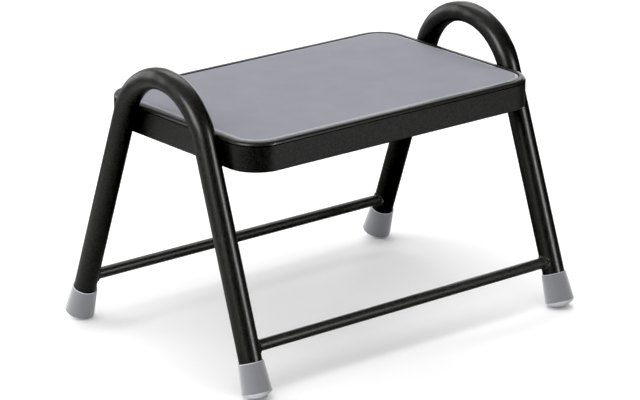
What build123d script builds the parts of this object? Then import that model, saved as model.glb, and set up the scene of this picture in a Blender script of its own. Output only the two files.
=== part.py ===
from build123d import *
import os
from math import asin, cos, radians, sin, tan

# Caravan entry step: two bent tube leg frames carry a moulded tray with a tread panel.
# Millimetres. X runs along the tread, Y from front to back, Z up.
# The origin is on the floor, under the middle of the tread.

# Leg frames
tube_diameter = 22.0
tube_wall = 1.5
leg_splay = 19.4  # lean of every leg from the upright, in degrees
frame_lean = 0.55  # lean of each frame, with the feet outwards, in degrees
bend_radius = 64.5  # centre line of the handle arch
bend_centre_drop = 25.5  # from the tread down to the middle of the bend
bend_flattening = 1.8  # how much thinner the tube gets over the bend, in the plane of the frame
bend_spread = 1.0  # how much wider it gets there, square to the frame
bend_squareness = 2.35  # 2 is an ellipse, more has flatter sides and tighter shoulders
bend_outline_points = 24
flattening_angle = 24.0  # turn over which the round tube goes flat

# Stretchers and their welds
stretcher_diameter = 11.0
stretcher_wall = 1.2
stretcher_clearance = 4.3  # from a foot cap's mouth up to the weld over it
weld_size = 2.0
weld_rounding = 1.2

# Tray
tread_height = 235.0
tray_length = 359.0
tray_breadth = 231.6
tray_corner_radius = 32.0
tray_depth = 29.0
tray_wall = 3.2
plate_thickness = 3.2
rim_width = 6.7
rim_rounding = 3.5
hem_rounding = 1.2
shadow_line_width = 0.8
shadow_line_depth = 0.4
rib_thickness = 2.4
rib_depth = 10.0
rib_columns = 5
tube_seat_depth = 0.4  # how far each tube nests in the side of the tray
tube_seat_clearance = 0.1
screw_pad_width = 26.0
screw_pad_thickness = 4.0
screw_pad_rounding = 6.5
screw_pad_rise = 2.0  # from the skirt's lower edge up to the pads

# Tread panel
panel_thickness = 3.0
panel_gap = 0.4
panel_border = 3.2  # width of the softly rounded edge
panel_border_drop = 1.1

# Foot caps
cap_wall = 1.25  # at the mouth
cap_taper = 2.4  # how much wider each side is at the ring over the sole than at the mouth
cap_length = 28.7  # from that ring to the mouth
cap_top_rounding = 0.5
cap_mouth_chamfer = 0.5
cap_floor = 4.0
cap_fit = 0.05
sole_bulge = 6.1
sole_flat = 0.3  # how far the domed sole is pressed flat on the floor

# Tray screws, washers and rivet nuts
screw_diameter = 6.0
screw_engagement = 10.7  # thread inside a rivet nut
screw_fit = 0.05
screw_hole_clearance = 0.4
screw_head_diameter = 10.5
screw_head_height = 3.3
screw_head_rounding = 2.0
screw_socket_across = 4.0
screw_socket_depth = 2.0
washer_diameter = 16.0
washer_thickness = 1.6
nut_body_diameter = 9.0
nut_length = 13.0
nut_flange_diameter = 10.4
nut_flange_thickness = 0.8
nut_fit = 0.05
nut_flange_clearance = 0.2

# Worked out from the sizes above
tube_radius = tube_diameter / 2
bore_radius = tube_radius - tube_wall
splay_sin = sin(radians(leg_splay))
splay_cos = cos(radians(leg_splay))
bend_centre_z = tread_height - bend_centre_drop
bend_end_y = bend_radius * splay_cos
bend_end_z = bend_centre_z + bend_radius * splay_sin
frame_x = tray_length / 2 + tube_radius - tube_seat_depth + tube_seat_clearance  # at the screws
tray_bottom = tread_height - tray_depth
pocket_floor = tread_height - panel_thickness
plate_underside = pocket_floor - plate_thickness
tube_crest_x = frame_x - tube_radius  # the line of each tube nearest the tray
sides = {"left": -1, "right": 1}
ends = {"front": -1, "back": 1}


def leg_y(height):
    return bend_end_y + (bend_end_z - height) * tan(radians(leg_splay))


# The sole is part of a sphere, whose centre is over the floor by its radius less the pressed flat
socket_radius = tube_radius + cap_fit
cap_top_radius = socket_radius + cap_wall
ring_radius = cap_top_radius + cap_taper
sole_radius = (ring_radius**2 + sole_bulge**2) / (2 * sole_bulge)
ring_z = sole_radius - sole_flat - (sole_radius - sole_bulge) * splay_cos
tube_end_z = ring_z + cap_floor * splay_cos
leg_length = (bend_end_z - tube_end_z) / splay_cos
cap_mouth_z = ring_z + cap_length * splay_cos
stretcher_z = cap_mouth_z + stretcher_clearance + weld_size + stretcher_diameter / 2
screw_z = (tray_bottom + plate_underside) / 2
screw_y = leg_y(screw_z)
pad_face_x = tray_length / 2 - tray_wall - screw_pad_thickness
nut_face_x = tube_crest_x - nut_flange_thickness


def leg_x(height):
    return frame_x + (screw_z - height) * tan(radians(frame_lean))


def place(side, piece):
    # from its frame's own plane to the right, leaning about the screws, or to the left as a mirror image
    leaning = Pos(frame_x, 0, screw_z) * Rot(0, -frame_lean, 0) * Pos(0, 0, -screw_z) * piece
    return leaning if side > 0 else mirror(leaning, about=Plane.YZ)


def leg_plane(end, height):
    # on the axis of a leg, looking up along it
    origin = (0, end * leg_y(height), height)
    return Plane(origin=origin, x_dir=(1, 0, 0), z_dir=(0, -end * splay_sin, splay_cos))


def leg_rod(end, radius, start_z, length):
    rod = Cylinder(radius, length, align=(Align.CENTER, Align.CENTER, Align.MIN))
    return leg_plane(end, start_z) * rod


def side_rod(end, radius, inner_x, outer_x):
    # a rod on a screw's axis, between two distances from the middle of the tread
    rod = Cylinder(radius, outer_x - inner_x, rotation=(0, 90, 0))
    return Pos((inner_x + outer_x) / 2 - frame_x, end * screw_y, screw_z) * rod


def flattened_outline(inset):
    # a superellipse through points at even angles
    half_width = tube_radius + bend_spread / 2 - inset
    half_thickness = tube_radius - bend_flattening / 2 - inset
    points = []
    for step in range(bend_outline_points):
        turn = radians(360 / bend_outline_points * step)
        reach = (
            abs(cos(turn) / half_width) ** bend_squareness
            + abs(sin(turn) / half_thickness) ** bend_squareness
        ) ** (-1 / bend_squareness)
        points.append((reach * cos(turn), reach * sin(turn)))
    return make_face(Spline(*points, periodic=True))


def arch(inset):
    # the bend: round where it meets the legs, flattened over the top
    path = CenterArc((0, 0), bend_radius, leg_splay, 180 - 2 * leg_splay)
    path = Plane(origin=(0, 0, bend_centre_z), x_dir=(0, 1, 0), z_dir=(1, 0, 0)) * path
    flat_start = flattening_angle / (180 - 2 * leg_splay)
    sections = []
    for place in (0, flat_start, 0.5, 1 - flat_start, 1):
        point = path.position_at(place)
        plane = Plane(origin=point, x_dir=(1, 0, 0), z_dir=path.tangent_at(place))
        if place in (0, 1):
            sections.append(plane * Circle(tube_radius - inset))
        else:
            sections.append(plane * flattened_outline(inset))
    return sweep(sections, path=path, multisection=True)


def leg_frame(side):
    outer = arch(0)
    bore = arch(tube_wall)
    for end in ends.values():
        outer += leg_rod(end, tube_radius, tube_end_z, leg_length)
        bore += leg_rod(end, bore_radius, tube_end_z, leg_length)
    frame = outer - bore
    for end in ends.values():
        hole_radius = nut_body_diameter / 2 + nut_fit
        frame -= side_rod(end, hole_radius, tube_crest_x - tube_wall, frame_x)
    return place(side, frame)


def stretcher(end):
    length = 2 * leg_x(stretcher_z)
    bar = Cylinder(stretcher_diameter / 2, length, rotation=(0, 90, 0))
    bar -= Cylinder(stretcher_diameter / 2 - stretcher_wall, length, rotation=(0, 90, 0))
    bar = Pos(0, end * leg_y(stretcher_z), stretcher_z) * bar
    for side in sides.values():
        bar -= place(side, leg_rod(end, tube_radius, stretcher_z - tube_diameter, 2 * tube_diameter))
    return bar


def stretcher_weld(side, end):
    # within the weld's size of both the leg and the stretcher, and rounded outside
    reach = tube_diameter
    start = stretcher_z - reach * splay_cos
    leg = place(side, leg_rod(end, tube_radius, start, 2 * reach))
    near_leg = place(side, leg_rod(end, tube_radius + weld_size, start, 2 * reach))
    middle = Pos(side * (leg_x(stretcher_z) - reach / 2), end * leg_y(stretcher_z), stretcher_z)
    bar = middle * Cylinder(stretcher_diameter / 2, reach, rotation=(0, 90, 0))
    near_bar = middle * Cylinder(stretcher_diameter / 2 + weld_size, reach, rotation=(0, 90, 0))
    bead = (near_bar & near_leg) - leg - bar
    towards_middle = bead.edges().sort_by(lambda edge: abs(edge.center().X))[:2]
    return fillet(towards_middle.sort_by(SortBy.LENGTH)[-1], weld_rounding)


def rounded_block(inset, bottom, top):
    outline = RectangleRounded(
        tray_length - 2 * inset, tray_breadth - 2 * inset, tray_corner_radius - inset
    )
    return Pos(0, 0, bottom) * extrude(outline, top - bottom)


def tray_ribs():
    inner_length = tray_length - 2 * tray_wall
    inner_breadth = tray_breadth - 2 * tray_wall
    middle_z = plate_underside - rib_depth / 2
    rows = [0]
    for end in ends.values():
        rows += [end * (screw_y - screw_pad_width / 2), end * (screw_y + screw_pad_width / 2)]
    ribs = [Pos(0, y, middle_z) * Box(inner_length + tray_wall, rib_thickness, rib_depth) for y in rows]
    pitch = inner_length / (rib_columns + 1)
    for column in range(1, rib_columns + 1):
        x = column * pitch - inner_length / 2
        ribs.append(Pos(x, 0, middle_z) * Box(rib_thickness, inner_breadth + tray_wall, rib_depth))
    return ribs


def screw_pad(end):
    # a block inside the skirt between two ribs, with a rounded foot, sunk in plate and wall
    top = plate_underside + plate_thickness / 2
    outline = Rectangle(
        screw_pad_width, top - tray_bottom - screw_pad_rise, align=(Align.CENTER, Align.MAX)
    )
    outline = fillet(outline.vertices().sort_by(Axis.Y)[:2], screw_pad_rounding)
    start = Plane(
        origin=(pad_face_x - frame_x, end * screw_y, top), x_dir=(0, 1, 0), z_dir=(1, 0, 0)
    )
    return start * extrude(outline, screw_pad_thickness + tray_wall / 2)


def tray():
    body = rounded_block(0, tray_bottom, tread_height)
    body = fillet(body.faces().sort_by(Axis.Z)[-1].edges(), rim_rounding)
    body = fillet(body.faces().sort_by(Axis.Z)[0].edges(), hem_rounding)
    body -= rounded_block(rim_width, pocket_floor, tread_height)
    body -= rounded_block(tray_wall, tray_bottom, plate_underside)
    line_top = tread_height - rim_rounding
    line = rounded_block(-tray_wall, line_top - shadow_line_width, line_top)
    body -= line - rounded_block(shadow_line_depth, line_top - shadow_line_width, line_top)
    body += tray_ribs()
    seat_radius = tube_radius + tube_seat_clearance
    seat_length = (bend_end_z - tray_bottom + tube_diameter) / splay_cos
    hole_radius = screw_diameter / 2 + screw_hole_clearance
    flange_radius = nut_flange_diameter / 2 + nut_flange_clearance
    bend_seat = arch(-tube_seat_clearance)
    for side in sides.values():
        for end in ends.values():
            body += place(side, screw_pad(end))
            body -= place(side, leg_rod(end, seat_radius, tray_bottom - tube_diameter, seat_length))
            body -= place(side, side_rod(end, hole_radius, pad_face_x, frame_x))
            body -= place(side, side_rod(end, flange_radius, nut_face_x, frame_x))
        body -= place(side, bend_seat)
    return body


def tread_panel():
    # a plate whose top falls away round the edge in a shallow arc
    panel = rounded_block(rim_width + panel_gap, pocket_floor, tread_height)
    edge = panel.faces().sort_by(Axis.Z)[-1].outer_wire()
    inwards = Vector(0, 0, 1).cross(edge.tangent_at(0))
    start = Plane(origin=edge.position_at(0), x_dir=inwards, z_dir=edge.tangent_at(0))
    radius = (panel_border**2 + panel_border_drop**2) / (2 * panel_border_drop)
    half_turn = asin(panel_border / radius) / 2
    middle = (panel_border - radius * sin(half_turn), radius * (cos(half_turn) - 1))
    fall = ThreePointArc((panel_border, 0), middle, (0, -panel_border_drop))
    around = Polyline(
        (0, -panel_border_drop),
        (-panel_border, -panel_border_drop),
        (-panel_border, panel_border),
        (panel_border, panel_border),
        (panel_border, 0),
    )
    return panel - sweep(start * make_face([fall, around]), path=edge)


def foot_cap(side, end):
    # half section, with the height along the leg's axis from the ring at the widest place
    half_turn = asin(ring_radius / sole_radius) / 2
    sole_middle = (sole_radius * sin(half_turn), sole_radius * (1 - cos(half_turn)) - sole_bulge)
    chamfer_top = (socket_radius + cap_mouth_chamfer, cap_length)
    chamfer_foot = (socket_radius, cap_length - cap_mouth_chamfer)
    with BuildPart() as cap:
        with BuildSketch(Plane.XZ):
            with BuildLine():
                ThreePointArc((0, -sole_bulge), sole_middle, (ring_radius, 0))
                Line((ring_radius, 0), (cap_top_radius, cap_length))
                Line((cap_top_radius, cap_length), chamfer_top)
                Line(chamfer_top, chamfer_foot)
                Line(chamfer_foot, (socket_radius, cap_floor))
                Line((socket_radius, cap_floor), (0, cap_floor))
                Line((0, cap_floor), (0, -sole_bulge))
            make_face()
        revolve(axis=Axis.Z)
        rim = cap.edges().filter_by(GeomType.CIRCLE).group_by(Axis.Z)[-1].sort_by(SortBy.RADIUS)[-1]
        fillet(rim, cap_top_rounding)
    placed = place(side, leg_plane(end, ring_z) * cap.part)
    low = (Align.CENTER, Align.CENTER, Align.MAX)
    below = Box(4 * ring_radius, 4 * ring_radius, sole_radius, align=low)
    return placed - Pos(side * leg_x(ring_z), end * leg_y(ring_z), 0) * below


def tray_screw(end):
    # a button head with a hexagon socket, against the washer
    seat_x = pad_face_x - washer_thickness
    face_x = seat_x - screw_head_height
    shank_radius = screw_diameter / 2 - screw_fit
    shank = side_rod(end, shank_radius, seat_x, nut_face_x + screw_engagement)
    head = side_rod(end, screw_head_diameter / 2, face_x, seat_x)
    head = fillet(head.edges().filter_by(GeomType.CIRCLE).sort_by(Axis.X)[0], screw_head_rounding)
    hexagon = RegularPolygon(screw_socket_across / 2, side_count=6, major_radius=False)
    mouth = Plane(origin=(face_x - frame_x, end * screw_y, screw_z), z_dir=(1, 0, 0))
    return shank + head - mouth * extrude(hexagon, screw_socket_depth)


def tray_washer(end):
    seat_x = pad_face_x - washer_thickness
    hole_radius = screw_diameter / 2 + screw_hole_clearance
    washer = side_rod(end, washer_diameter / 2, seat_x, pad_face_x)
    return washer - side_rod(end, hole_radius, seat_x, pad_face_x)


def rivet_nut(end):
    nut_end_x = nut_face_x + nut_length
    nut = side_rod(end, nut_flange_diameter / 2, nut_face_x, tube_crest_x)
    nut += side_rod(end, nut_body_diameter / 2, nut_face_x, nut_end_x)
    return nut - side_rod(end, screw_diameter / 2, nut_face_x, nut_end_x)


def set_of_four(fastener):
    places = [(side, end) for side in sides.values() for end in ends.values()]
    return Compound(children=[place(side, fastener(end)) for side, end in places])


def pieces():
    made = {"tray": tray(), "tread_panel": tread_panel()}
    for side_name, side in sides.items():
        made[f"leg_frame_{side_name}"] = leg_frame(side)
    for end_name, end in ends.items():
        made[f"stretcher_{end_name}"] = stretcher(end)
        for side_name, side in sides.items():
            made[f"stretcher_weld_{end_name}_{side_name}"] = stretcher_weld(side, end)
            made[f"foot_cap_{end_name}_{side_name}"] = foot_cap(side, end)
    made["tray_screws"] = set_of_four(tray_screw)
    made["tray_washers"] = set_of_four(tray_washer)
    made["rivet_nuts"] = set_of_four(rivet_nut)
    return made


os.makedirs("parts", exist_ok=True)
for name, piece in pieces().items():
    export_step(piece, f"parts/{name}.step")
    volumes = [solid.volume for solid in piece.solids()]
    print(name, len(volumes), "solids", round(sum(volumes)), "mm3")
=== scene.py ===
import bmesh
import bpy
import numpy as np
from mathutils import Matrix, Vector


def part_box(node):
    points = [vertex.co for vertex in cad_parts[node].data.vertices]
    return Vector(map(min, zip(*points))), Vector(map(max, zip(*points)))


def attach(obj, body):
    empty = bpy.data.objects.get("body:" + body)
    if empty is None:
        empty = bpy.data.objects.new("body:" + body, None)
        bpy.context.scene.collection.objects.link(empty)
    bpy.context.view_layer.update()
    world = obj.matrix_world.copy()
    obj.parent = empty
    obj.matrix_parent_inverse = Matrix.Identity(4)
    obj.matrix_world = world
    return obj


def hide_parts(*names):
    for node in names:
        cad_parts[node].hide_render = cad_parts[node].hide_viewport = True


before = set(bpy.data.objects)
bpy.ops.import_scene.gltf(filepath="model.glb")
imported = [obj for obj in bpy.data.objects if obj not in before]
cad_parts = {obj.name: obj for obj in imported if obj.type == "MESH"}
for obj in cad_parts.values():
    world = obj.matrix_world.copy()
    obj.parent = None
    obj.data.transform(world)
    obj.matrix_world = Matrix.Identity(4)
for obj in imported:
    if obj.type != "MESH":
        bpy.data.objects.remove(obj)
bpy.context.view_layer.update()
print("frame loaded:", len(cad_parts), "nodes")

sides = {"left": -1, "right": 1}
ends = {"front": -1, "back": 1}
trayLow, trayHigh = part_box("tray")
tubeLow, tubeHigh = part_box("leg_frame_right")
barLow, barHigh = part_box("stretcher_front")
screwLow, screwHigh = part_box("tray_screws")
treadZ = trayHigh.z
screwZ = (screwHigh.z + screwLow.z) / 2


# meshes from grids of points

meshing = {
    "mergeReach": 2e-6,  # points nearer than this become one
    "sliverReach": 2e-7,
    "sharpAngle": np.radians(35),
}


def makePiece(name, patches, materials, nodes):
    # a patch is a grid of points and its finish: each four neighbours make a face,
    # and borders that patches share merge into one shell
    vertices, faces, tones = [], [], []
    first = 0
    for grid, finish in patches:
        rows, columns = grid.shape[:2]
        index = first + np.arange(rows * columns).reshape(rows, columns)
        corners = [index[:-1, :-1], index[1:, :-1], index[1:, 1:], index[:-1, 1:]]
        quads = np.stack(corners, -1).reshape(-1, 4)
        vertices.append(grid.reshape(-1, 3))
        faces.append(quads)
        tones.append(np.full(len(quads), materials.index(finish), np.int32))
        first += rows * columns
    mesh = bpy.data.meshes.new(name)
    mesh.from_pydata(np.concatenate(vertices).tolist(), [], np.concatenate(faces).tolist())
    mesh.polygons.foreach_set("material_index", np.concatenate(tones))
    shell = bmesh.new()
    shell.from_mesh(mesh)
    bmesh.ops.remove_doubles(shell, verts=shell.verts, dist=meshing["mergeReach"])
    bmesh.ops.dissolve_degenerate(shell, edges=shell.edges, dist=meshing["sliverReach"])
    bmesh.ops.recalc_face_normals(shell, faces=shell.faces)
    shell.to_mesh(mesh)
    shell.free()
    mesh.shade_smooth()
    mesh.set_sharp_from_angle(angle=meshing["sharpAngle"])
    for material in materials:
        mesh.materials.append(material)
    piece = bpy.data.objects.new(name, mesh)
    bpy.context.scene.collection.objects.link(piece)
    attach(piece, "root")
    if nodes:
        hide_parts(*nodes)


def arcAngles(start, end, count):
    # angles of an arc in degrees, both ends included
    return np.linspace(np.radians(start), np.radians(end), count)


def closeEnds(grid, first, last):
    # a row of one repeated point before and after the grid closes it with two fans
    rows = [np.broadcast_to(point, (1,) + grid.shape[1:]) for point in (first, last)]
    return np.concatenate([rows[0], grid, rows[1]])


# finishes

noiseSpan = (0.3, 0.7)  # where most values of a noise lie
grainSpan = (0.37, 0.63)  # narrower, so that a grain reaches both of its tints


def setSockets(node, values):
    # inputs by name, with a low line for each space
    for socket, value in values.items():
        node.inputs[socket.replace("_", " ")].default_value = value


def addNode(tree, kind, **values):
    node = tree.nodes.new(kind)
    setSockets(node, values)
    return node


def newFinish(name, **values):
    material = bpy.data.materials.new(name)
    material.use_nodes = True
    shader = material.node_tree.nodes["Principled BSDF"]
    setSockets(shader, values)
    return material, shader


def noiseValue(tree, scale, detail, roughness=0.5):
    # noise on the piece's own coordinates, in features per metre
    place = addNode(tree, "ShaderNodeTexCoord")
    noise = addNode(tree, "ShaderNodeTexNoise", Scale=scale, Detail=detail, Roughness=roughness)
    tree.links.new(place.outputs["Object"], noise.inputs["Vector"])
    return noise.outputs["Fac"]


def spreadTint(tree, shader, source, span, tints):
    # a colour between two tints, by a noise value
    ramp = addNode(tree, "ShaderNodeValToRGB")
    for stop, position, tint in zip(ramp.color_ramp.elements, span, tints):
        stop.position = position
        stop.color = (*tint, 1)
    tree.links.new(source, ramp.inputs["Fac"])
    tree.links.new(ramp.outputs["Color"], shader.inputs["Base Color"])


def spreadRoughness(tree, shader, source, roughness):
    # a roughness between two values, by a noise value
    spread = addNode(
        tree,
        "ShaderNodeMapRange",
        From_Min=noiseSpan[0],
        From_Max=noiseSpan[1],
        To_Min=roughness[0],
        To_Max=roughness[1],
    )
    tree.links.new(source, spread.inputs["Value"])
    tree.links.new(spread.outputs["Result"], shader.inputs["Roughness"])


def addBump(tree, shader, layers):
    # each layer is a height, its depth in metres and its strength; the last one meets the shader
    normal = None
    for height, depth, strength in layers:
        bump = addNode(tree, "ShaderNodeBump", Distance=depth, Strength=strength)
        tree.links.new(height, bump.inputs["Height"])
        if normal:
            tree.links.new(normal, bump.inputs["Normal"])
        normal = bump.outputs["Normal"]
    tree.links.new(normal, shader.inputs["Normal"])


# a noise is a scale, a detail and sometimes a roughness

coat = {
    "patches": (600, 3, 0.6),
    "peel": (520, 2),
    "fine": (1300, 2),
    "peelDepth": 0.00008,
    "fineDepth": 0.00005,
    "strength": 0.5,
}
blackCoats = {
    "tubeBlack": {
        "tints": [(0.0015, 0.0015, 0.0012), (0.011, 0.0107, 0.009)],
        "roughness": (0.3, 0.38),
        "shine": 0.26,
    },
    "stretcherBlack": {
        "tints": [(0.008, 0.008, 0.0072), (0.032, 0.032, 0.0285)],
        "roughness": (0.28, 0.4),
        "shine": 0.24,
    },
}


def powderCoat(name, tints, roughness, shine):
    # satin black powder coat: orange peel of two sizes and a little patchiness in colour and gloss
    material, shader = newFinish(name, Specular_IOR_Level=shine)
    tree = material.node_tree
    patches = noiseValue(tree, *coat["patches"])
    peel = noiseValue(tree, *coat["peel"])
    fine = noiseValue(tree, *coat["fine"])
    spreadTint(tree, shader, patches, grainSpan, tints)
    spreadRoughness(tree, shader, patches, roughness)
    strength = coat["strength"]
    addBump(tree, shader, [(peel, coat["peelDepth"], strength), (fine, coat["fineDepth"], strength)])
    return material


moulding = {
    "fine": (1500, 3, 0.6),
    "coarse": (850, 2),
    "fineStrength": 0.6,
    "coarseStrength": 0.5,
}
blackMouldings = {
    "skirtGrain": {
        "tints": [(0.0006, 0.0006, 0.0005), (0.0115, 0.0114, 0.0102)],
        "roughness": (0.29, 0.37),
        "depth": 0.00004,
        "shine": 0.285,
    },
    "rimBlack": {
        "tints": [(0.012, 0.012, 0.0112), (0.016, 0.016, 0.015)],
        "roughness": (0.26, 0.32),
        "depth": 0.00001,
        "shine": 0.2,
    },
    # nearly black and dull: painted shade in the shadow line's groove
    "shadowLinePaintedShade": {
        "tints": [(0.0005, 0.0005, 0.0005), (0.001, 0.001, 0.001)],
        "roughness": (0.6, 0.7),
        "depth": 0.00001,
        "shine": 0.05,
    },
    "undersideBlack": {
        "tints": [(0.008, 0.008, 0.0074), (0.012, 0.012, 0.0112)],
        "roughness": (0.45, 0.55),
        "depth": 0.00004,
        "shine": 0.3,
    },
}


def mouldedGrain(name, tints, roughness, depth, shine):
    # spark-eroded grain of a black moulding: two sizes of noise in the bump, one each in colour and gloss
    material, shader = newFinish(name, Specular_IOR_Level=shine)
    tree = material.node_tree
    fine = noiseValue(tree, *moulding["fine"])
    coarse = noiseValue(tree, *moulding["coarse"])
    spreadTint(tree, shader, coarse, grainSpan, tints)
    spreadRoughness(tree, shader, fine, roughness)
    layers = [(coarse, depth, moulding["coarseStrength"]), (fine, depth, moulding["fineStrength"])]
    addBump(tree, shader, layers)
    return material


rubber = {
    "clouds": (35, 3),
    "grainDetail": 3,
    "grainRoughness": 0.6,
    "strength": 0.5,
    "bloomRoughness": 0.5,
}
greyRubbers = {
    "treadGrey": {
        "tints": [(0.228, 0.232, 0.26), (0.242, 0.246, 0.276)],
        "roughness": (0.6, 0.7),
        "grain": 1400,
        "depth": 0.00005,
        "shine": 0.03,
    },
    "treadEdge": {
        "tints": [(0.228, 0.233, 0.26), (0.24, 0.245, 0.273)],
        "roughness": (0.26, 0.32),
        "grain": 900,
        "depth": 0.00001,
        "shine": 0.33,
    },
    "capGrey": {
        "tints": [(0.162, 0.164, 0.178), (0.177, 0.18, 0.195)],
        "roughness": (0.55, 0.65),
        "grain": 900,
        "depth": 0.00003,
        "shine": 0.1,
        "bloom": 1.0,  # pale dusty film that shows at a glancing angle
    },
    # pale grey for sole and mouth: painted highlight, in a glossier finish than the body
    "capPaintedHighlight": {
        "tints": [(0.52, 0.523, 0.545), (0.56, 0.563, 0.585)],
        "roughness": (0.3, 0.4),
        "grain": 900,
        "depth": 0.00001,
        "shine": 0.5,
    },
}


def greyRubber(name, tints, roughness, grain, depth, shine, bloom=0.0):
    # grey rubber: clouded a little in colour, with a fine grain
    material, shader = newFinish(
        name,
        Specular_IOR_Level=shine,
        Sheen_Weight=bloom,
        Sheen_Roughness=rubber["bloomRoughness"],
    )
    tree = material.node_tree
    clouds = noiseValue(tree, *rubber["clouds"])
    fine = noiseValue(tree, grain, rubber["grainDetail"], rubber["grainRoughness"])
    spreadTint(tree, shader, clouds, noiseSpan, tints)
    spreadRoughness(tree, shader, fine, roughness)
    addBump(tree, shader, [(fine, depth, rubber["strength"])])
    return material


plating = {
    "clouds": (400, 3),
    "tints": [(0.5, 0.5, 0.49), (0.68, 0.68, 0.66)],
    "roughness": (0.28, 0.45),
}


def zincPlate(name):
    # bright zinc: clouded grey with uneven gloss
    material, shader = newFinish(name, Metallic=1.0)
    tree = material.node_tree
    clouds = noiseValue(tree, *plating["clouds"])
    spreadTint(tree, shader, clouds, noiseSpan, plating["tints"])
    spreadRoughness(tree, shader, clouds, plating["roughness"])
    return material


tubeBlack, stretcherBlack = (powderCoat(name, **form) for name, form in blackCoats.items())
skirtGrain, rimBlack, shadowLinePaintedShade, undersideBlack = (
    mouldedGrain(name, **form) for name, form in blackMouldings.items()
)
treadGrey, treadEdge, capGrey, capPaintedHighlight = (greyRubber(name, **form) for name, form in greyRubbers.items())
zinc = zincPlate("zinc")
print("finishes made")


# leg frames: a section carried along legs and bend

legTube = {
    "radius": 0.011,
    "splay": np.radians(19.4),
    "lean": np.radians(0.55),  # of each frame, feet outwards
    "bendRadius": 0.0645,
    "bendDrop": 0.0255,  # from the tread down to the middle of the bend
    "flattening": 0.0018,  # how much thinner over the bend
    "spread": 0.0010,  # how much wider there
    "squareness": 2.35,
    "flatteningTurn": np.radians(24),
    "rippleDepth": 0.00007,  # folds that the bending leaves on the inside of the arch
    "rippleLength": 0.0062,
    "rippleSway": 0.8,  # how unevenly they follow each other
    "rippleSwayRate": 5,
    "dentDepth": 0.00045,  # shallow waves that the bending tool leaves on the flanks
    "dentLength": 0.023,
    "dentSway": 1.1,
    "dentSwayRate": 4,
    "dentSlant": 1.4,  # how far they lean over round the tube
    "flankReach": 0.5,  # how far the flanks go down towards the inside
    "legSteps": 90,
    "bendSteps": 260,
    "aroundSteps": 96,
}
splaySin, splayCos = np.sin(legTube["splay"]), np.cos(legTube["splay"])
leanSin, leanCos = np.sin(legTube["lean"]), np.cos(legTube["lean"])
bendCentreZ = treadZ - legTube["bendDrop"]
bendEndY = legTube["bendRadius"] * splayCos
bendEndZ = bendCentreZ + legTube["bendRadius"] * splaySin
bendLength = legTube["bendRadius"] * (np.pi - 2 * legTube["splay"])
tubeEndZ = tubeLow.z + legTube["radius"] * splaySin
legLength = (bendEndZ - tubeEndZ) / splayCos
frameX = tubeHigh.x - legTube["radius"] * leanCos - (screwZ - tubeEndZ) * leanSin  # at the screws


def legY(height):
    # the leg's axis goes out from the bend's end by the tangent of the splay
    return bendEndY + (bendEndZ - height) * splaySin / splayCos


def legX(height):
    # the frame's plane goes out below the screws by the tangent of the lean
    return frameX + (screwZ - height) * leanSin / leanCos


def leanOut(grid, side):
    # turns a grid in its frame's own plane about the height of the screws and takes it to its side
    out, height = grid[..., 0], grid[..., 2] - screwZ
    x = side * (frameX + out * leanCos - height * leanSin)
    z = screwZ + out * leanSin + height * leanCos
    return np.stack([x, grid[..., 1], z], -1)


def framePath(run):
    # the bend is an arc by its turn; past either end the path goes on along the tangent
    bent = np.clip(run, 0, bendLength)
    turn = legTube["splay"] + bent / legTube["bendRadius"]
    past = run - bent
    y = -legTube["bendRadius"] * np.cos(turn) + past * np.sin(turn)
    z = bendCentreZ + legTube["bendRadius"] * np.sin(turn) + past * np.cos(turn)
    return y, z, turn, bent


def bendWave(bent, turn, length, sway, swayRate):
    # phase of a wave along the bend that runs ahead and falls behind as the bend turns
    return 2 * np.pi * bent / length + sway * np.sin(swayRate * turn)


def legFrame(side):
    # superellipse rings: half width across the frame, half thickness in its plane, squareness from 2 up,
    # all eased into the bend by a smooth step; folds inside and waves on the flanks are sines along it
    leg = np.linspace(0, legLength, legTube["legSteps"])
    bend = np.linspace(0, bendLength, legTube["bendSteps"])
    y, z, turn, bent = framePath(np.concatenate([-leg[:0:-1], bend, bendLength + leg[1:]]))
    around = np.linspace(0, 2 * np.pi, legTube["aroundSteps"] + 1)[None, :]
    easing = legTube["flatteningTurn"] * legTube["bendRadius"]
    rise = np.clip(np.minimum(bent, bendLength - bent) / easing, 0, 1)
    flat = (rise * rise * (3 - 2 * rise))[:, None]
    halfWidth = legTube["radius"] + flat * legTube["spread"] / 2
    halfThickness = legTube["radius"] - flat * legTube["flattening"] / 2
    power = 2 + flat * (legTube["squareness"] - 2)
    widthPart = np.abs(np.cos(around) / halfWidth) ** power
    thicknessPart = np.abs(np.sin(around) / halfThickness) ** power
    reach = (widthPart + thicknessPart) ** (-1 / power)
    inside = np.clip(-np.sin(around), 0, 1) ** 2
    phase = bendWave(bent, turn, legTube["rippleLength"], legTube["rippleSway"], legTube["rippleSwayRate"])
    reach = reach - legTube["rippleDepth"] * flat * inside * (1 + np.sin(phase)[:, None])
    flank = np.cos(around) ** 2 * np.clip(legTube["flankReach"] + np.sin(around), 0, 1)
    phase = bendWave(bent, turn, legTube["dentLength"], legTube["dentSway"], legTube["dentSwayRate"])
    swell = np.sin(phase[:, None] + legTube["dentSlant"] * np.sin(around))
    reach = reach - legTube["dentDepth"] * flat * flank * (1 + swell) / 2
    inPlane = reach * np.sin(around)
    ringY = y[:, None] - inPlane * np.cos(turn)[:, None]
    ringZ = z[:, None] + inPlane * np.sin(turn)[:, None]
    grid = np.stack([reach * np.cos(around), ringY, ringZ], -1)
    return leanOut(closeEnds(grid, (0, y[0], z[0]), (0, y[-1], z[-1])), side)


for sideName, side in sides.items():
    patches = [(legFrame(side), tubeBlack)]
    makePiece(f"tube_{sideName}", patches, [tubeBlack], [f"leg_frame_{sideName}"])
print("leg frames made")


# stretchers and welds: each ends on the saddle curve where bar and leg meet

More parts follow.
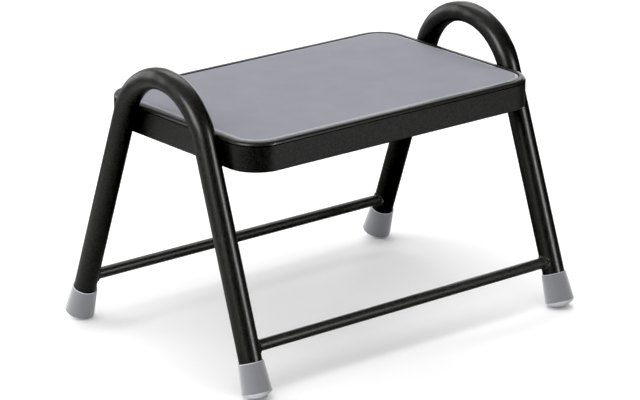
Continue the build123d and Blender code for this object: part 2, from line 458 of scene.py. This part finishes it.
bar = {
    "radius": (barHigh.z - barLow.z) / 2,
    "aroundSteps": 64,
    "alongSteps": 60,
}
weldBead = {
    "size": 0.0020,
    "bulge": 0.00045,
    "ripples": 26,
    "rippleDepth": 0.00012,
    "bulgeRipple": 0.5,  # how much of the bulge comes and goes with the ripples
    "aroundSteps": 156,
    "acrossSteps": 14,
}
barZ = (barHigh.z + barLow.z) / 2


def saddleX(offsetY, offsetZ, end):
    # how far out the leg's skin is at an offset from the bar's axis
    across = offsetY * splayCos + end * offsetZ * splaySin
    return legX(barZ + offsetZ) - np.sqrt(np.maximum(legTube["radius"] ** 2 - across**2, 0))


def stretcher(end):
    # straight lines along the bar between the two saddle curves, and a fan over each end
    around = np.linspace(0, 2 * np.pi, bar["aroundSteps"] + 1)
    offsetY, offsetZ = bar["radius"] * np.cos(around), bar["radius"] * np.sin(around)
    x = np.linspace(-1, 1, bar["alongSteps"])[:, None] * saddleX(offsetY, offsetZ, end)
    grid = np.stack(np.broadcast_arrays(x, end * legY(barZ) + offsetY, barZ + offsetZ), -1)
    pole = np.array([legX(barZ) - legTube["radius"], end * legY(barZ), barZ])
    return closeEnds(grid, pole * [-1, 1, 1], pole)


def weld(side, end):
    # across the bead: from a toe on the bar over a bulged face to a toe on the leg, then back along
    # the corner; round the bar its size and its bulge ripple as a cosine
    around = np.linspace(0, 2 * np.pi, weldBead["aroundSteps"] + 1)
    ripple = np.cos(weldBead["ripples"] * around + np.sin(around))
    size = weldBead["size"] + weldBead["rippleDepth"] * ripple
    direction = np.stack([np.cos(around), np.sin(around)], -1)
    near = direction * bar["radius"]
    far = direction * (bar["radius"] + size)[:, None]
    cornerX = saddleX(near[:, 0], near[:, 1], end)
    corner = np.column_stack([cornerX, near])
    barToe = np.column_stack([cornerX - size, near])
    legToe = np.column_stack([saddleX(far[:, 0], far[:, 1], end), far])
    away = (barToe - corner) + (legToe - corner)
    away /= np.linalg.norm(away, axis=1)[:, None]
    bulge = weldBead["bulge"] * away * (1 + weldBead["bulgeRipple"] * ripple)[:, None]
    share = np.linspace(0, 1, weldBead["acrossSteps"])[:, None, None]
    face = barToe * (1 - share) + legToe * share + np.sin(np.pi * share) * bulge
    loop = np.concatenate([face, corner[None], barToe[None]])
    loop[..., 0] *= side
    loop[..., 1] += end * legY(barZ)
    loop[..., 2] += barZ
    return loop


for endName, end in ends.items():
    patches = [(stretcher(end), stretcherBlack)]
    makePiece(f"bar_{endName}", patches, [stretcherBlack], [f"stretcher_{endName}"])
    for sideName, side in sides.items():
        makePiece(
            f"weld_{endName}_{sideName}",
            [(weld(side, end), stretcherBlack)],
            [stretcherBlack],
            [f"stretcher_weld_{endName}_{sideName}"],
        )
print("stretchers and welds made")


# tray and tread: rings round a rounded rectangle

trayForm = {
    "cornerRadius": 0.032,
    "wall": 0.0032,
    "plate": 0.0032,
    "rimWidth": 0.0067,
    "rimRounding": 0.0035,
    "rimInnerRounding": 0.0003,
    "hemRounding": 0.0012,
    "lineWidth": 0.0008,  # shadow line between rim and skirt
    "lineDepth": 0.0004,
    "seatClearance": 0.0001,
    "cornerSteps": 36,
    "longSteps": 80,
    "shortSteps": 140,  # finer, because the legs' seats are in these sides
    "rimSteps": 12,
    "rimInnerSteps": 5,
    "skirtSteps": 16,
    "hemSteps": 7,
    "insideSteps": 8,
}
panelForm = {
    "thickness": 0.0030,
    "gap": 0.0004,
    "border": 0.0032,
    "borderDrop": 0.0011,
    "borderSteps": 12,
    "topSteps": 5,
}
pocketZ = treadZ - panelForm["thickness"]
plateZ = pocketZ - trayForm["plate"]


def outlineParts():
    # each outline point is a core point on the rectangle of corner centres and a unit normal
    halfX = trayHigh.x - trayForm["cornerRadius"]
    halfY = trayHigh.y - trayForm["cornerRadius"]
    corners = np.array([[halfX, -halfY], [halfX, halfY], [-halfX, halfY], [-halfX, -halfY]])
    core, angle = [], []
    for number, corner in enumerate(corners):
        turn = np.radians(90 * number - 90) + arcAngles(0, 90, trayForm["cornerSteps"])
        core.append(np.broadcast_to(corner, (len(turn), 2)))
        angle.append(turn)
        steps = trayForm["longSteps"] if number % 2 else trayForm["shortSteps"]
        share = np.linspace(0, 1, steps + 2)[1:-1, None]
        core.append(corner * (1 - share) + corners[(number + 1) % len(corners)] * share)
        angle.append(np.full(steps, turn[-1]))
    core, angle = np.concatenate(core), np.concatenate(angle)
    core, angle = np.vstack([core, core[:1]]), np.append(angle, angle[0])
    return core, np.stack([np.cos(angle), np.sin(angle)], -1)


outlineCore, outlineNormal = outlineParts()


def outlineRings(profile):
    # a profile row is an inset from the outline, a height and a scale towards the middle;
    # a ring is the core and what the inset leaves of the corner radius along the normal, times the scale
    inset, height, scale = np.array(profile, float).T
    reach = (trayForm["cornerRadius"] - inset)[:, None, None]
    flat = scale[:, None, None] * (outlineCore[None] + reach * outlineNormal[None])
    tall = np.broadcast_to(height[:, None, None], flat.shape[:2] + (1,))
    return np.concatenate([flat, tall], -1)


def pressSeats(grid):
    # no point of the tray comes nearer to a leg's axis than the tube's radius and the clearance
    reach = legTube["radius"] + trayForm["seatClearance"]
    across = (np.abs(grid[..., 1]) - legY(grid[..., 2])) * splayCos
    limit = legX(grid[..., 2]) - np.sqrt(np.maximum(reach**2 - across**2, 0))
    limit = np.where(np.abs(across) < reach, limit, frameX)
    pressed = grid.copy()
    pressed[..., 0] = np.sign(grid[..., 0]) * np.minimum(np.abs(grid[..., 0]), limit)
    return pressed


def rounding(insetCentre, heightCentre, radius, start, end, count):
    # an arc of the profile, by the angle from outwards up
    turn = arcAngles(start, end, count)
    inset, height = insetCentre - radius * np.cos(turn), heightCentre + radius * np.sin(turn)
    return np.column_stack([inset, height, np.ones(count)]).tolist()


def trayPatches():
    # one profile round the outline: pocket, rim with two arcs, shadow line, skirt with the hem's arc,
    # then up the inside to the plate
    rim, edge, hem, wall = (trayForm[key] for key in ("rimWidth", "rimRounding", "hemRounding", "wall"))
    inner, depth = trayForm["rimInnerRounding"], trayForm["lineDepth"]
    lineTop = treadZ - edge
    lineFoot = lineTop - trayForm["lineWidth"]
    bottom = trayLow.z
    pocket = [(rim, pocketZ, 0), (rim, pocketZ, 1), (rim, treadZ - inner, 1)]
    rimTop = rounding(rim - inner, treadZ - inner, inner, 180, 90, trayForm["rimInnerSteps"])
    rimTop += rounding(edge, lineTop, edge, 90, 0, trayForm["rimSteps"])
    line = [(0, lineTop, 1), (depth, lineTop, 1), (depth, lineFoot, 1), (0, lineFoot, 1)]
    skirt = [(0, z, 1) for z in np.linspace(lineFoot, bottom + hem, trayForm["skirtSteps"])]
    skirt += rounding(hem, bottom + hem, hem, 0, -90, trayForm["hemSteps"])[1:]
    inside = [(hem, bottom, 1), (wall - inner, bottom, 1), (wall, bottom + inner, 1)]
    inside += [(wall, z, 1) for z in np.linspace(bottom + inner, plateZ, trayForm["insideSteps"])[1:]]
    inside += [(wall, plateZ, 0)]
    return [
        (outlineRings(pocket), rimBlack),
        (pressSeats(outlineRings(rimTop)), rimBlack),
        # the groove takes the nearly black finish: painted shade
        (pressSeats(outlineRings(line)), shadowLinePaintedShade),
        (pressSeats(outlineRings(skirt)), skirtGrain),
        (outlineRings(inside), undersideBlack),
    ]


def panelPatches():
    # flat rings from the middle out, then a border that falls as an arc: level at its start and
    # lower by the drop at the edge
    inset = trayForm["rimWidth"] + panelForm["gap"]
    width, drop = panelForm["border"], panelForm["borderDrop"]
    radius = (width**2 + drop**2) / (2 * drop)
    out = np.linspace(0, width, panelForm["borderSteps"])
    fall = radius - np.sqrt(radius**2 - out**2)
    top = [(inset + width, treadZ, scale) for scale in np.linspace(0, 1, panelForm["topSteps"])]
    border = np.column_stack([inset + width - out, treadZ - fall, np.ones(len(out))])
    under = [(inset, treadZ - drop, 1), (inset, pocketZ, 1), (inset, pocketZ, 0)]
    return [
        (outlineRings(top), treadGrey),
        (outlineRings(border), treadEdge),
        (outlineRings(under), treadEdge),
    ]


trayFinishes = [skirtGrain, rimBlack, undersideBlack, shadowLinePaintedShade]
makePiece("tray_shell", trayPatches(), trayFinishes, ["tray"])
makePiece("tread", panelPatches(), [treadGrey, treadEdge], ["tread_panel"])
print("tray and tread made")


# underside of the tray: ribs and screw pads

ribForm = {
    "thickness": 0.0024,
    "footThickness": 0.0018,
    "depth": 0.0100,
    "columns": 5,
    "sink": 0.0008,  # how far ribs and pads run into plate and wall
}
padForm = {
    "width": 0.0260,
    "thickness": 0.0040,
    "rounding": 0.0065,
    "rise": 0.0020,
    "steps": 12,
}
screwY = legY(screwZ)


def ribGrid(x, y, length, alongX):
    # a tapered section carried along a straight line, with a fan at each end
    half, foot = ribForm["thickness"] / 2, ribForm["footThickness"] / 2
    top, low = plateZ + ribForm["sink"], plateZ - ribForm["depth"]
    across = np.array([-half, half, foot, -foot, -half])
    tall = np.array([top, top, low, low, top])
    run = np.array([-length / 2, length / 2])
    grid = np.stack(np.broadcast_arrays(run[:, None], across, tall), -1)
    middle = (top + low) / 2
    grid = closeEnds(grid, (run[0], 0, middle), (run[1], 0, middle))
    if not alongX:
        grid = grid[..., [1, 0, 2]]
    return grid + [x, y, 0]


def ribPatches():
    # long ribs through the middle and on both edges of the screw pads, cross ribs at equal steps
    innerLength = 2 * (trayHigh.x - trayForm["wall"])
    innerBreadth = 2 * (trayHigh.y - trayForm["wall"])
    padEdges = [end * (screwY + step * padForm["width"] / 2) for end in (-1, 1) for step in (-1, 1)]
    ribs = [ribGrid(0, y, innerLength + ribForm["sink"], True) for y in [0] + padEdges]
    pitch = innerLength / (ribForm["columns"] + 1)
    for column in range(1, ribForm["columns"] + 1):
        ribs.append(ribGrid(column * pitch - innerLength / 2, 0, innerBreadth + ribForm["sink"], False))
    return [(rib, undersideBlack) for rib in ribs]


def padPatches():
    # the pad's outline, with an arc at either foot, carried from inside the wall to the pad's face
    half, corner = padForm["width"] / 2, padForm["rounding"]
    top, low = plateZ + ribForm["sink"], trayLow.z + padForm["rise"]
    turn = arcAngles(180, 270, padForm["steps"])
    arcY, arcZ = -half + corner, low + corner
    leftFoot = np.column_stack([arcY + corner * np.cos(turn), arcZ + corner * np.sin(turn)])
    rightFoot = leftFoot[::-1] * [-1, 1]
    outline = np.vstack([[[-half, top]], leftFoot, rightFoot, [[half, top], [-half, top]]])
    wallX = trayHigh.x - trayForm["wall"] + ribForm["sink"] - frameX
    faceX = wallX - ribForm["sink"] - padForm["thickness"]
    depth = np.array([[faceX], [wallX]])
    grid = np.stack(np.broadcast_arrays(depth, outline[:, 0], outline[:, 1]), -1)
    middle = (top + low) / 2
    pad = closeEnds(grid, (faceX, 0, middle), (wallX, 0, middle))
    pads = [leanOut(pad + [0, end * screwY, 0], side) for side in sides.values() for end in ends.values()]
    return [(pad, undersideBlack) for pad in pads]


makePiece("tray_ribs", ribPatches(), [undersideBlack], [])
makePiece("screw_pads", padPatches(), [undersideBlack], [])
for node in ("tray_screws", "tray_washers", "rivet_nuts"):
    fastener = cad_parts[node]
    fastener.data.materials.clear()
    fastener.data.materials.append(zinc)
print("underside made")


# foot caps: a half section turned about the leg's axis

capForm = {
    "mouthRadius": 0.0123,
    "ringRadius": 0.0147,
    "socketRadius": 0.01105,
    "length": 0.0287,
    "floor": 0.0040,
    "mouthRounding": 0.0005,
    "mouthChamfer": 0.0005,
    "ringRounding": 0.00025,
    "soleBulge": 0.0061,
    "soleFlat": 0.0003,  # how far the sole is pressed flat on the floor
    "soleSteps": 26,
    "sideSteps": 14,
    "lipSteps": 6,
    "aroundSteps": 112,
}


def capProfile():
    # sole as an arc of a circle, cone, rounded mouth, chamfer, socket wall and floor;
    # a row is a radius and a height from the ring up
    ring, bulge, ringEdge = capForm["ringRadius"], capForm["soleBulge"], capForm["ringRounding"]
    mouth, rounded, length = capForm["mouthRadius"], capForm["mouthRounding"], capForm["length"]
    socketRadius, chamfer, floorHeight = capForm["socketRadius"], capForm["mouthChamfer"], capForm["floor"]
    soleRadius = (ring**2 + bulge**2) / (2 * bulge)
    turn = np.linspace(0, np.arcsin(ring / soleRadius), capForm["soleSteps"])
    sole = np.column_stack([soleRadius * np.sin(turn), soleRadius * (1 - np.cos(turn)) - bulge])
    sole = np.vstack([sole[sole[:, 0] < ring - ringEdge], [ring, ringEdge]])
    share = np.linspace(0, 1, capForm["sideSteps"])[:, None]
    cone = np.array([ring, ringEdge]) * (1 - share) + np.array([mouth, length - rounded]) * share
    turn = arcAngles(0, 90, capForm["lipSteps"])[1:]
    lipRadius, lipHeight = mouth - rounded, length - rounded
    lip = np.column_stack([lipRadius + rounded * np.cos(turn), lipHeight + rounded * np.sin(turn)])
    socket = [
        [socketRadius + chamfer, length],
        [socketRadius, length - chamfer],
        [socketRadius, floorHeight],
        [0, floorHeight],
    ]
    mouthRing = np.vstack([cone[-1:], lip, socket])
    # sole and mouth take the pale finish: painted highlight
    return [(sole, capPaintedHighlight), (cone, capGrey), (mouthRing, capPaintedHighlight)], soleRadius


def footCap(side, end):
    # turned about the leg's axis and pressed flat on the floor
    profiles, soleRadius = capProfile()
    ringZ = soleRadius - capForm["soleFlat"] - (soleRadius - capForm["soleBulge"]) * splayCos
    around = np.linspace(0, 2 * np.pi, capForm["aroundSteps"] + 1)[None, :]
    patches = []
    for profile, finish in profiles:
        radius, height = profile[:, :1], profile[:, 1:]
        across = radius * np.sin(around)
        y = end * (legY(ringZ) - height * splaySin + across * splayCos)
        z = ringZ + height * splayCos + across * splaySin
        cap = leanOut(np.stack([radius * np.cos(around), y, z], -1), side)
        cap[..., 2] = np.maximum(cap[..., 2], 0)
        patches.append((cap, finish))
    return patches


for endName, end in ends.items():
    for sideName, side in sides.items():
        makePiece(
            f"cap_{endName}_{sideName}",
            footCap(side, end),
            [capGrey, capPaintedHighlight],
            [f"foot_cap_{endName}_{sideName}"],
        )
print("foot caps made")


# floor: pale and evenly bright, fading into the white studio; in reflections its colour is painted, dim but
# for two painted pools of light

floorForm = {
    "half": 1.8,
    "tint": (0.95, 0.95, 0.95),
    "roughness": 0.9,
    "shine": 0.1,
    # painted reflection: the floor colour that glossy rays see, dim, and brighter in painted pools of light
    "paintedGlareDim": 0.06,  # what the black coat mirrors of the floor
    "paintedGlareBright": 0.7,  # and inside a pool
    "paintedPools": [
        {"centre": (-0.5, 0.25, 0.0), "inner": 0.2, "outer": 0.5},
        {"centre": (0.45, -0.65, 0.0), "inner": 0.25, "outer": 0.6},
    ],
    "fadeFrom": 0.9,  # distances from the step
    "fadeTo": 1.7,
}
mixPlain, mixMirrored, mixResult = 6, 7, 2  # a Mix node's colour sockets, as their names aren't unique
floorFinish, floorShader = newFinish(
    "floorPale",
    Roughness=floorForm["roughness"],
    Specular_IOR_Level=floorForm["shine"],
)
tree = floorFinish.node_tree
floorPlace = addNode(tree, "ShaderNodeTexCoord")
paintedPoolGlare = addNode(tree, "ShaderNodeMath")
paintedPoolGlare.operation = "MAXIMUM"
# two painted pools of light, seen only in reflections
for number, form in enumerate(floorForm["paintedPools"]):
    beside = addNode(tree, "ShaderNodeVectorMath")
    beside.operation = "DISTANCE"
    beside.inputs[1].default_value = form["centre"]
    paintedPool = addNode(
        tree,
        "ShaderNodeMapRange",
        From_Min=form["inner"],
        From_Max=form["outer"],
        To_Min=floorForm["paintedGlareBright"],
        To_Max=floorForm["paintedGlareDim"],
    )
    tree.links.new(floorPlace.outputs["Object"], beside.inputs[0])
    tree.links.new(beside.outputs["Value"], paintedPool.inputs["Value"])
    tree.links.new(paintedPool.outputs["Result"], paintedPoolGlare.inputs[number])
# glossy rays see the painted reflection colour, all other rays the pale tint
floorRays = addNode(tree, "ShaderNodeLightPath")
floorTint = addNode(tree, "ShaderNodeMix")
floorTint.data_type = "RGBA"
floorTint.inputs[mixPlain].default_value = (*floorForm["tint"], 1)
tree.links.new(paintedPoolGlare.outputs["Value"], floorTint.inputs[mixMirrored])
tree.links.new(floorRays.outputs["Is Glossy Ray"], floorTint.inputs["Factor"])
tree.links.new(floorTint.outputs[mixResult], floorShader.inputs["Base Color"])
distance = addNode(tree, "ShaderNodeVectorMath")
distance.operation = "LENGTH"
floorFade = addNode(
    tree,
    "ShaderNodeMapRange",
    From_Min=floorForm["fadeFrom"],
    From_Max=floorForm["fadeTo"],
)
floorFade.interpolation_type = "SMOOTHSTEP"
clear = addNode(tree, "ShaderNodeBsdfTransparent")
blend = addNode(tree, "ShaderNodeMixShader")
tree.links.new(floorPlace.outputs["Object"], distance.inputs[0])
tree.links.new(distance.outputs["Value"], floorFade.inputs["Value"])
tree.links.new(floorFade.outputs["Result"], blend.inputs["Fac"])
tree.links.new(floorShader.outputs["BSDF"], blend.inputs[1])
tree.links.new(clear.outputs["BSDF"], blend.inputs[2])
tree.links.new(blend.outputs["Shader"], tree.nodes["Material Output"].inputs["Surface"])
half = floorForm["half"]
floorMesh = bpy.data.meshes.new("floor")
floorCorners = [(-half, -half, 0), (half, -half, 0), (half, half, 0), (-half, half, 0)]
floorMesh.from_pydata(floorCorners, [], [(0, 1, 2, 3)])
floorMesh.materials.append(floorFinish)
floor = bpy.data.objects.new("floor", floorMesh)
bpy.context.scene.collection.objects.link(floor)


# softboxes: a matte one only lights, a gloss one only shows as a reflection, as a card beside the lens does

softboxes = {
    "high": {"turn": (-30, 71), "distance": 2.1, "size": (2.2, 2.2), "power": 29.5, "serves": "matte"},
    "lowFill": {"turn": (-75, 8), "distance": 2.4, "size": (1.4, 0.5), "power": 26, "serves": "matte"},
    "archCard": {"turn": (-81, 25), "distance": 2.4, "size": (1.6, 1.0), "power": 72, "serves": "gloss"},
    "backLeft": {"turn": (-155, 17), "distance": 2.4, "size": (2.2, 1.5), "power": 26, "serves": "both"},
    "backRight": {"turn": (138, 46), "distance": 2.2, "size": (1.5, 0.5), "power": 13, "serves": "both"},
    "rimCard": {"turn": (125, 8), "distance": 2.4, "size": (1.6, 0.7), "power": 12, "serves": "gloss"},
    "rightFill": {"turn": (95, 12), "distance": 2.4, "size": (1.4, 0.8), "power": 14, "serves": "matte"},
    "strip": {"turn": (21, 14), "distance": 2.2, "size": (0.24, 1.1), "power": 42, "serves": "gloss"},
}
stepMiddle = Vector((0, 0, 0.13))  # what the softboxes face


def outwards(azimuth, elevation):
    # unit direction from the step, by the turn from the front towards the right and the rise, in degrees
    turn, rise = np.radians([azimuth, elevation])
    return Vector((np.sin(turn) * np.cos(rise), -np.cos(turn) * np.cos(rise), np.sin(rise)))


for name, form in softboxes.items():
    away = outwards(*form["turn"])
    lamp = bpy.data.lights.new(name, "AREA")
    lamp.shape = "RECTANGLE"
    lamp.size, lamp.size_y = form["size"]
    lamp.energy = form["power"]
    softbox = bpy.data.objects.new(name, lamp)
    softbox.visible_camera = False
    softbox.visible_diffuse = form["serves"] != "gloss"
    softbox.visible_glossy = form["serves"] != "matte"
    softbox.location = away * form["distance"] + stepMiddle
    softbox.rotation_euler = away.to_track_quat("Z", "Y").to_euler()
    bpy.context.scene.collection.objects.link(softbox)


# studio: lights the step from behind and is dim on the camera's side; seen past the floor it is plain white

studio = {
    "brightTowards": (-0.35, 0.6, 0.7),
    "dim": 0.03,
    "bright": 0.85,
    "fadeFrom": -0.1,
    "fadeTo": 0.8,
    "seen": 1.0,
    "white": (1, 1, 1, 1),
    "blackLevel": 0.007,  # the photograph's blacks are deep
}
world = bpy.data.worlds.new("studio")
world.use_nodes = True
tree = world.node_tree
lit = tree.nodes["Background"]
setSockets(lit, {"Color": studio["white"]})
backdrop = addNode(tree, "ShaderNodeBackground", Color=studio["white"], Strength=studio["seen"])
studioPlace = addNode(tree, "ShaderNodeTexCoord")
facing = addNode(tree, "ShaderNodeVectorMath")
facing.operation = "DOT_PRODUCT"
facing.inputs[1].default_value = Vector(studio["brightTowards"]).normalized()
studioFade = addNode(
    tree,
    "ShaderNodeMapRange",
    From_Min=studio["fadeFrom"],
    From_Max=studio["fadeTo"],
    To_Min=studio["dim"],
    To_Max=studio["bright"],
)
studioFade.interpolation_type = "SMOOTHSTEP"
studioRays = addNode(tree, "ShaderNodeLightPath")
choose = addNode(tree, "ShaderNodeMixShader")
tree.links.new(studioPlace.outputs["Generated"], facing.inputs[0])
tree.links.new(facing.outputs["Value"], studioFade.inputs["Value"])
tree.links.new(studioFade.outputs["Result"], lit.inputs["Strength"])
tree.links.new(studioRays.outputs["Is Camera Ray"], choose.inputs["Fac"])
tree.links.new(lit.outputs["Background"], choose.inputs[1])
tree.links.new(backdrop.outputs["Background"], choose.inputs[2])
tree.links.new(choose.outputs["Shader"], tree.nodes["World Output"].inputs["Surface"])
bpy.context.scene.world = world
look = bpy.context.scene.view_settings
look.view_transform = "Standard"
look.use_curve_mapping = True
look.curve_mapping.black_level = (studio["blackLevel"],) * 3
look.curve_mapping.update()


# camera, as fitted to the photograph

photoView = {
    "azimuth": -39.704,
    "elevation": 18.589,
    "roll": 0.204,
    "distance": 3.15258,
    "target": (-0.003539, -0.002407, 0.117770),
    "focalPixels": 3228.645,
    "imageWidth": 640,
    "sensorWidth": 36.0,
    "clipEnd": 50.0,
}
azimuth, roll = np.radians([photoView["azimuth"], photoView["roll"]])
back = outwards(photoView["azimuth"], photoView["elevation"])
right = Vector((np.cos(azimuth), np.sin(azimuth), 0))
up = back.cross(right)
right, up = right * np.cos(roll) + up * np.sin(roll), up * np.cos(roll) - right * np.sin(roll)
camera = bpy.data.cameras.new("camera")
camera.sensor_fit = "HORIZONTAL"
camera.sensor_width = photoView["sensorWidth"]
camera.lens = photoView["focalPixels"] / photoView["imageWidth"] * camera.sensor_width
camera.clip_end = photoView["clipEnd"]
viewer = bpy.data.objects.new("camera", camera)
viewPoint = Vector(photoView["target"]) + back * photoView["distance"]
viewer.matrix_world = Matrix.Translation(viewPoint) @ Matrix((right, up, back)).transposed().to_4x4()
bpy.context.scene.collection.objects.link(viewer)
bpy.context.scene.camera = viewer
print("stage set")
